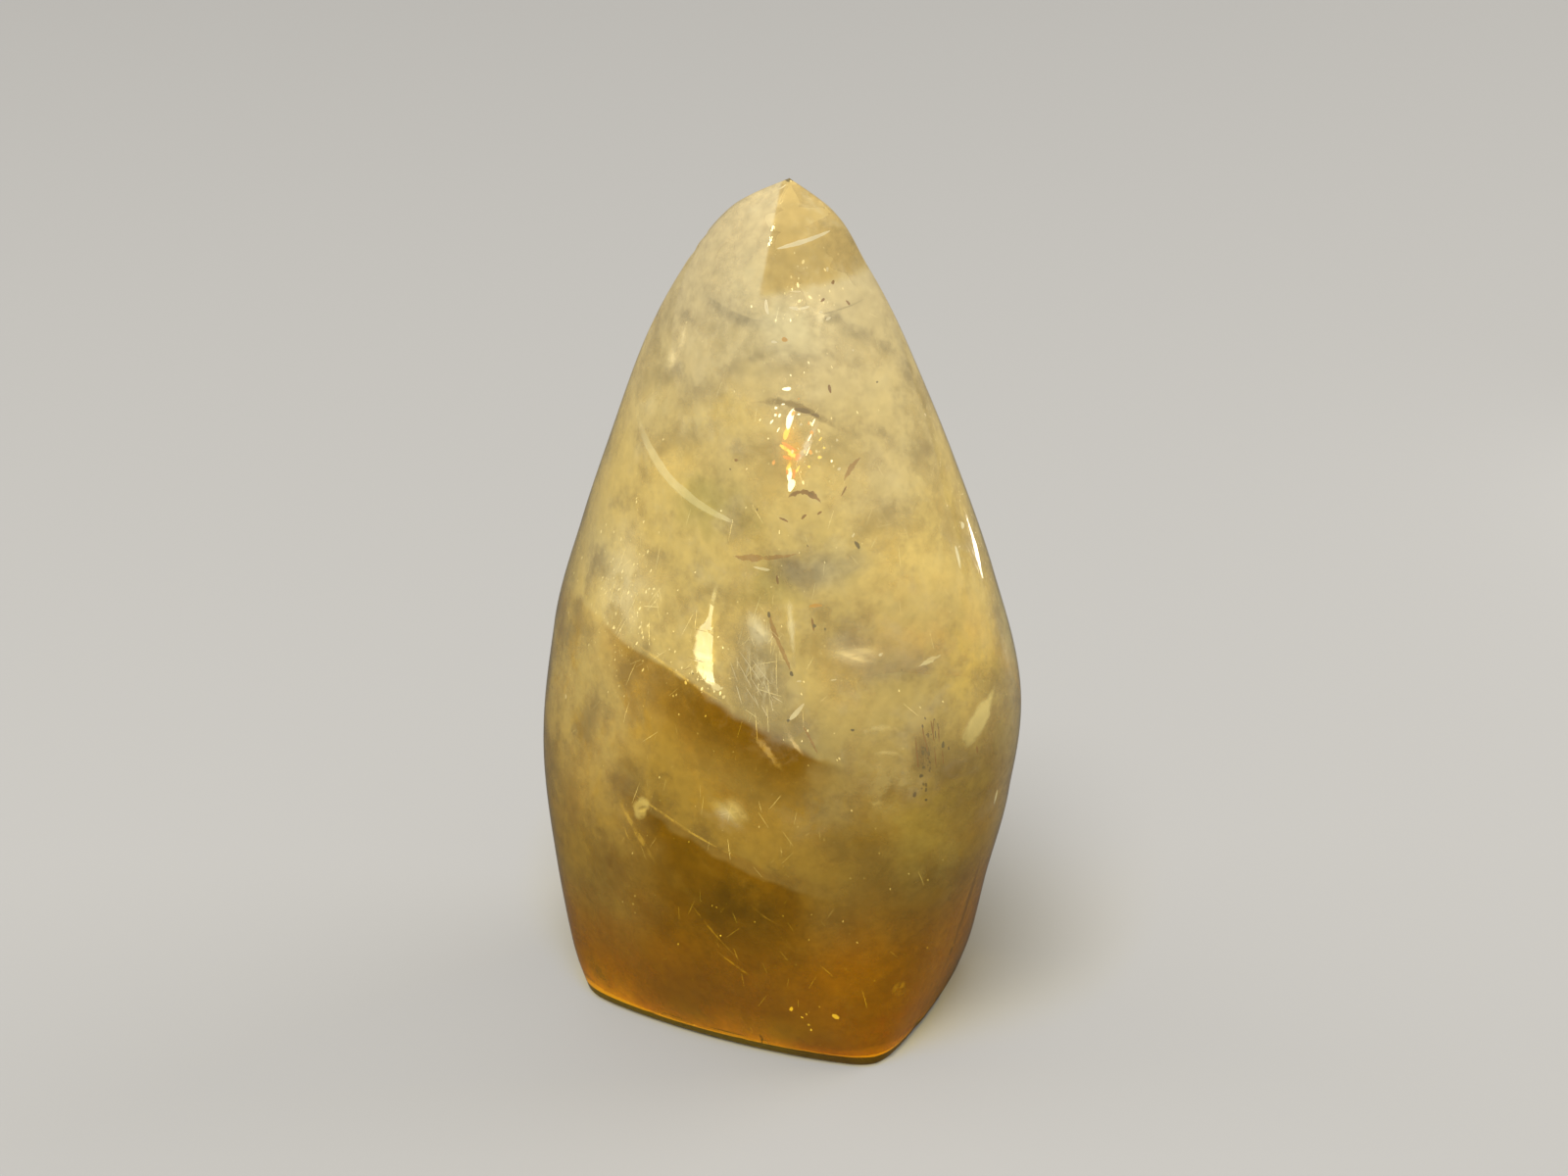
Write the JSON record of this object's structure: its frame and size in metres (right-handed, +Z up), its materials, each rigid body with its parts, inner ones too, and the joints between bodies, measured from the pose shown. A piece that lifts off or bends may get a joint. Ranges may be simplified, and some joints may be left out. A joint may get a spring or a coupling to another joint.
{
  "type": "citrine crystal",
  "caption": "Polished citrine standing stone: a rounded four-sided body, slightly twisted, that narrows to a crisp point above a flat foot.",
  "frame": {"origin": "middle of the flat face that the stone stands on", "axes": "+Z up, from the foot to the point; -Y towards the side that the picture shows"},
  "size_m": [0.0375, 0.0339, 0.0685],
  "materials": {
    "citrine": "polished, cloudy golden quartz"
  },
  "bodies": {
    "root": {"crystal": "citrine"}
  },
  "joints": []
}
